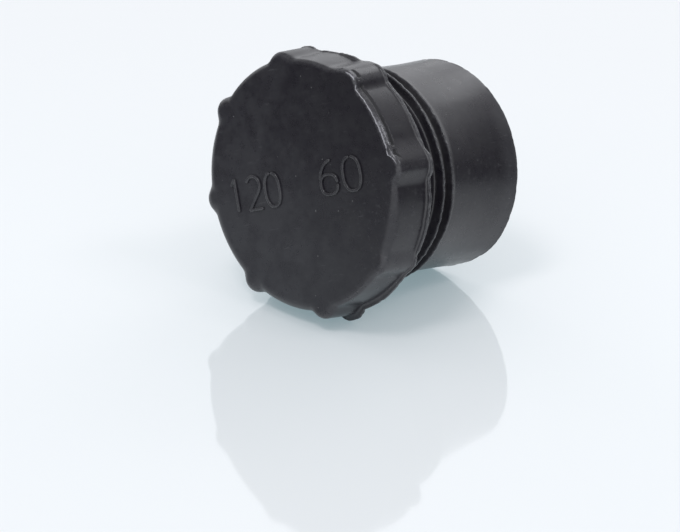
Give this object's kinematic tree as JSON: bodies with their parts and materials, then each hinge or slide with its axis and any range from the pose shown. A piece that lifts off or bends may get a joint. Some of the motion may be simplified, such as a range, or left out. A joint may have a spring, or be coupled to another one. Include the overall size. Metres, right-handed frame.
{
  "type": "moped fuel cap",
  "caption": "Black rubber push-in fuel cap for a moped tank: a gripped head with lobes, a sealing neck with a thin lip, and a hollow skirt that serves as an oil cup.",
  "frame": {"origin": "centre of the open rim, on the surface that the cap stands on", "axes": "+Z along the plug's axis, from the open rim to the gripped head; one grip lobe lies on +X"},
  "size_m": [0.0506, 0.0506, 0.0382],
  "materials": {
    "black_rubber": "satin, moulded, with faint scuffs"
  },
  "bodies": {
    "root": {"fuel_cap": "black_rubber"}
  },
  "joints": []
}
